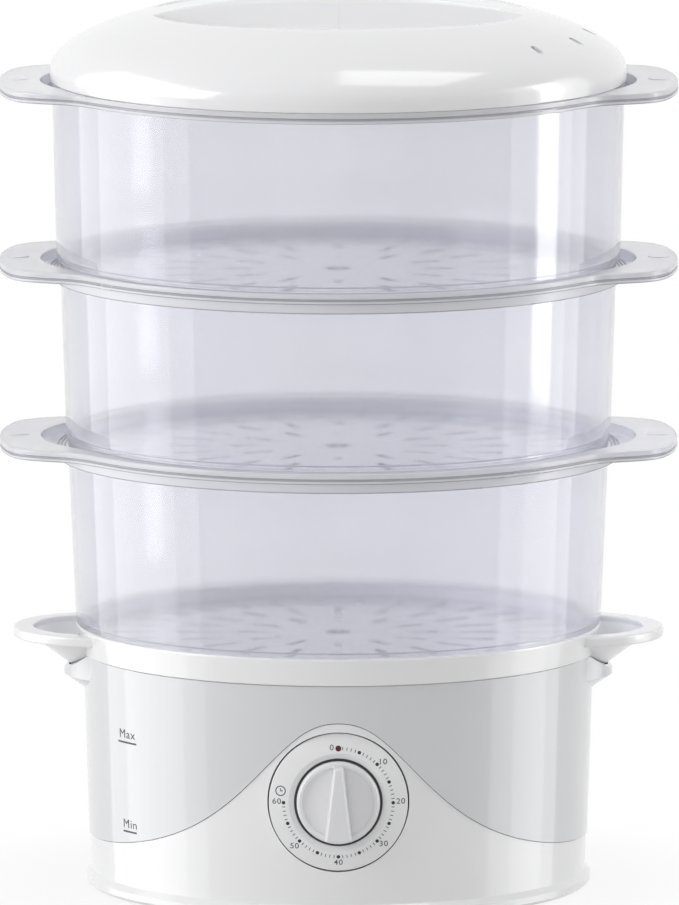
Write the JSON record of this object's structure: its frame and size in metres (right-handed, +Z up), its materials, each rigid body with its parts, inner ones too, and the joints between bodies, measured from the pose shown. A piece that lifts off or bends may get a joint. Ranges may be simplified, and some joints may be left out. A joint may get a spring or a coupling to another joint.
{
  "type": "electric food steamer",
  "caption": "Round electric food steamer: water tank base with clockwork timer knob, drip tray with side filling scoops, stacked clear baskets with ears, and a domed lid.",
  "frame": {"origin": "on the standing surface, at the centre of the base's underside", "axes": "+Z up; the dial faces -Y, so +X is to the right of somebody facing it; the ears point along X"},
  "size_m": [0.3, 0.2546, 0.3969],
  "materials": {
    "white_plastic": "smooth white polypropylene, light gloss",
    "tank_plastic": "smooth pale grey polypropylene, light gloss",
    "knob_plastic": "smooth white, satin",
    "lid_plastic": "milky gloss polycarbonate",
    "clear_plastic": "clear moulded plastic, faint lavender tint, gloss",
    "grey_plastic": "fine texture",
    "black_plastic": "moulded phenolic",
    "rubber": "matt rubber",
    "silicone": "silicone seal",
    "stainless": "spun stainless steel",
    "zinc_steel": "bright zinc plate",
    "brass": "machined brass",
    "wire_brown": "insulated lead",
    "wire_blue": "insulated lead"
  },
  "bodies": {
    "base": {"water_tank": "tank_plastic", "base_apron": "white_plastic", "bottom_cover": "grey_plastic", "rubber_feet": "rubber", "cover_screws": "zinc_steel", "element_plate": "stainless", "element_seal": "silicone", "element_clamp_ring": "zinc_steel", "element_screws": "zinc_steel", "heating_tube": "stainless", "thermostat": "black_plastic", "thermal_fuse": "zinc_steel", "terminal_block": "grey_plastic", "cord_bushing": "rubber", "wire_live": "wire_brown", "wire_timer_feed": "wire_brown", "wire_neutral": "wire_blue", "dial_plate": "white_plastic", "timer_case": "zinc_steel", "timer_case_cover": "zinc_steel", "timer_screws": "zinc_steel", "timer_contacts": "brass", "timer_bell": "zinc_steel"},
    "knob": {"timer_knob": "knob_plastic", "timer_shaft": "zinc_steel", "timer_main_wheel": "brass", "timer_cam": "grey_plastic", "timer_mainspring": "zinc_steel"},
    "escapement": {"timer_pinion": "brass"},
    "steam_ring": {"steam_ring": "grey_plastic"},
    "drip_tray": {"drip_tray": "white_plastic"},
    "basket_bottom": {"basket_bottom": "clear_plastic", "basket_floor_bottom": "clear_plastic"},
    "basket_middle": {"basket_middle": "clear_plastic", "basket_floor_middle": "clear_plastic"},
    "basket_top": {"basket_top": "clear_plastic", "basket_floor_top": "clear_plastic"},
    "lid": {"lid": "lid_plastic"}
  },
  "joints": [
    {"name": "timer_turn", "type": "hinge", "parent": "base", "child": "knob", "pos_m": [0, -0.112, 0.0532], "axis": [0, 1, 0], "range_deg": [0, 270]},
    {"name": "escapement_turn", "type": "hinge", "parent": "base", "child": "escapement", "pos_m": [0, -0.094, 0.06808], "axis": [0, 1, 0], "range_deg": [-1080, 60]},
    {"name": "steam_ring_lift", "type": "slide", "parent": "base", "child": "steam_ring", "axis": [0, 0, 1], "range_m": [0, 0.008]},
    {"name": "drip_tray_lift", "type": "slide", "parent": "base", "child": "drip_tray", "axis": [0, 0, 1], "range_m": [0, 0.06]},
    {"name": "basket_bottom_lift", "type": "slide", "parent": "drip_tray", "child": "basket_bottom", "axis": [0, 0, 1], "range_m": [0, 0.06]},
    {"name": "basket_middle_lift", "type": "slide", "parent": "basket_bottom", "child": "basket_middle", "axis": [0, 0, 1], "range_m": [0, 0.06]},
    {"name": "basket_top_lift", "type": "slide", "parent": "basket_middle", "child": "basket_top", "axis": [0, 0, 1], "range_m": [0, 0.06]},
    {"name": "lid_lift", "type": "slide", "parent": "basket_top", "child": "lid", "axis": [0, 0, 1], "range_m": [0, 0.1]}
  ],
  "couplings": [
    {"joint": "escapement_turn", "follows": "timer_turn", "ratio": -3}
  ]
}
